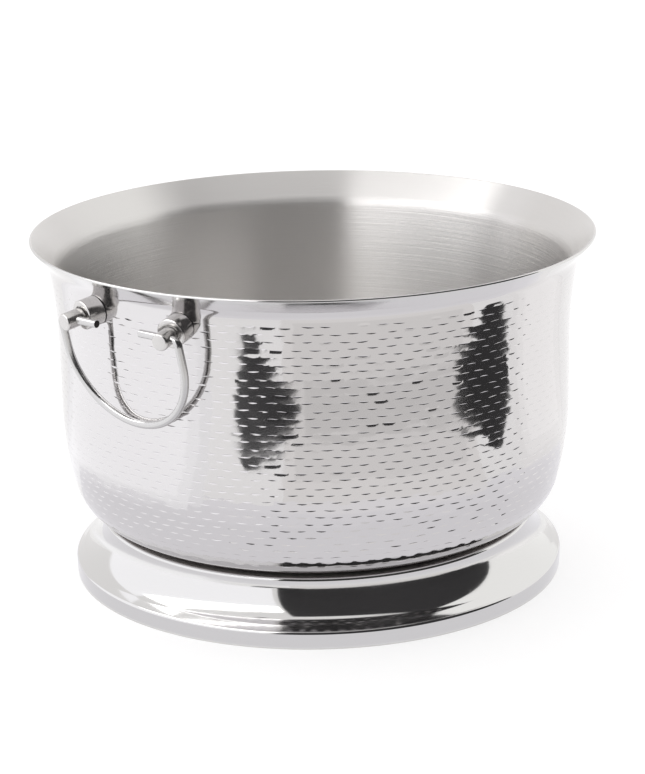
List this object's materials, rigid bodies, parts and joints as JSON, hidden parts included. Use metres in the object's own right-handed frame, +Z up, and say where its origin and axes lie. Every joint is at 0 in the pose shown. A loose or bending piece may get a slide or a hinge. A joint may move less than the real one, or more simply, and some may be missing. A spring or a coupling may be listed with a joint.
{
  "type": "pedestal beverage tub",
  "caption": "Round double-walled steel tub on a spun pedestal for chilling bottles on ice, with a hammered shell and swinging wire bail handles.",
  "frame": {"origin": "middle of the pedestal's foot, on the floor", "axes": "+Z up along the tub's axis; the two bails stand at -X and +X; front is -Y"},
  "size_m": [0.473, 0.45, 0.278],
  "materials": {
    "hammered_steel": "mirror polished, hammered",
    "brushed_steel_inner": "brushed round the bowl",
    "polished_steel": "mirror polished",
    "turned_steel": "fine turned",
    "bail_wire": "polished",
    "fastener_steel": "plain",
    "gasket_rubber": "matt"
  },
  "bodies": {
    "tub": {"outer_shell": "hammered_steel", "inner_bowl": "brushed_steel_inner", "pedestal": "polished_steel", "base_studs": "fastener_steel", "base_washers": "fastener_steel", "base_nuts": "fastener_steel", "left_front_gasket": "gasket_rubber", "left_front_collar": "turned_steel", "left_front_eye_pin": "turned_steel", "left_front_washer": "fastener_steel", "left_front_nut": "fastener_steel", "left_rear_gasket": "gasket_rubber", "left_rear_collar": "turned_steel", "left_rear_eye_pin": "turned_steel", "left_rear_washer": "fastener_steel", "left_rear_nut": "fastener_steel", "right_front_gasket": "gasket_rubber", "right_front_collar": "turned_steel", "right_front_eye_pin": "turned_steel", "right_front_washer": "fastener_steel", "right_front_nut": "fastener_steel", "right_rear_gasket": "gasket_rubber", "right_rear_collar": "turned_steel", "right_rear_eye_pin": "turned_steel", "right_rear_washer": "fastener_steel", "right_rear_nut": "fastener_steel"},
    "left_bail": {"left_bail": "bail_wire"},
    "right_bail": {"right_bail": "bail_wire"}
  },
  "joints": [
    {"name": "left_bail_hinge", "type": "hinge", "parent": "tub", "child": "left_bail", "pos_m": [-0.22693, 0, 0.24666], "axis": [0, 1, 0], "range_deg": [0, 203]},
    {"name": "right_bail_hinge", "type": "hinge", "parent": "tub", "child": "right_bail", "pos_m": [0.22693, 0, 0.24666], "axis": [0, -1, 0], "range_deg": [0, 203]}
  ]
}
